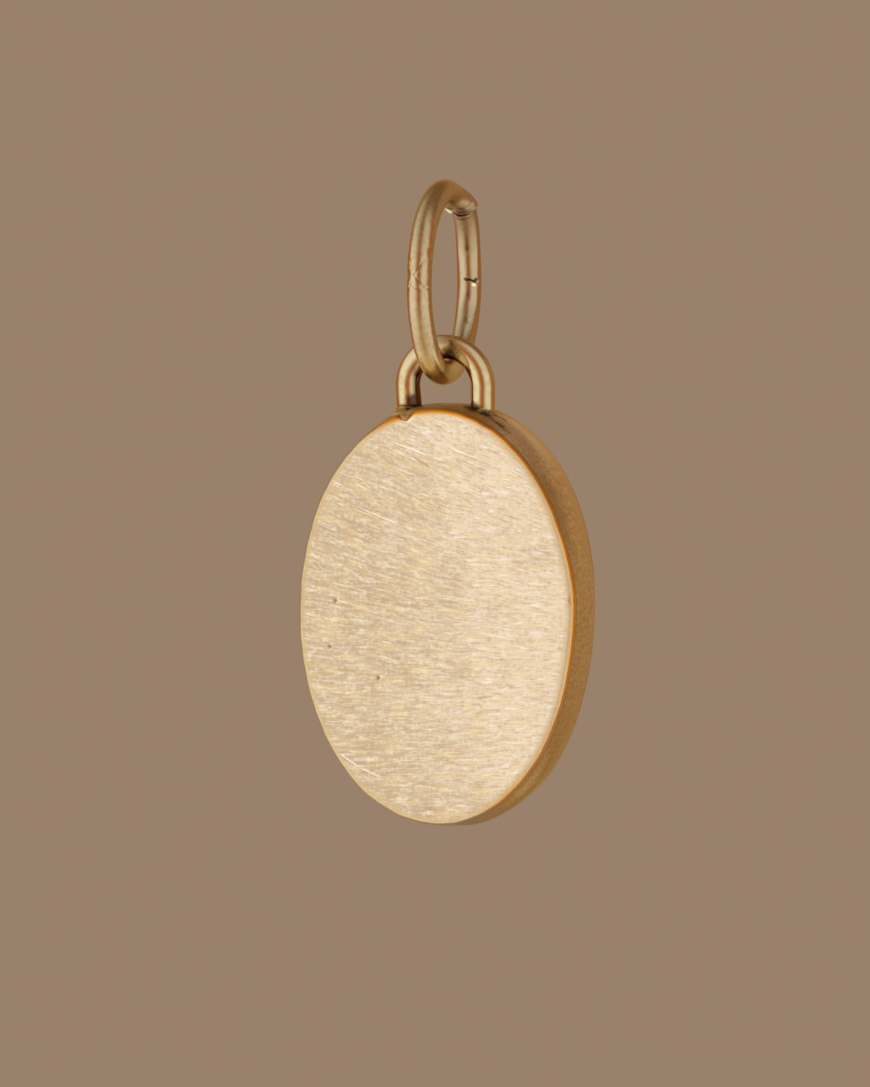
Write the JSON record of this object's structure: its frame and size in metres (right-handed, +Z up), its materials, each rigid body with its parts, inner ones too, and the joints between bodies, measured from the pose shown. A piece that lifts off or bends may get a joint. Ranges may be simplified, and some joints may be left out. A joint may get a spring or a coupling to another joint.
{
  "type": "oval gold pendant",
  "caption": "Thick oval metal pendant with flat satin faces and a soldered wire loop, hanging free on a round jump ring.",
  "frame": {"origin": "inner top of the jump ring, where a chain or cord carries the pendant", "axes": "+Z up along the hanging pendant, -Y out of the shown face, X across the oval; the jump ring lies in the YZ plane"},
  "size_m": [0.0094, 0.0066, 0.0208],
  "materials": {
    "polished_gold": "worn polish",
    "satin_gold": "satin brushed"
  },
  "bodies": {
    "ring": {"jump_ring": "polished_gold"},
    "pendant": {"oval_pendant": "satin_gold"}
  },
  "joints": [
    {"name": "swing", "type": "hinge", "parent": "ring", "child": "pendant", "pos_m": [0, 0, -0.0054], "axis": [0, 1, 0], "range_deg": [-90, 90]}
  ]
}
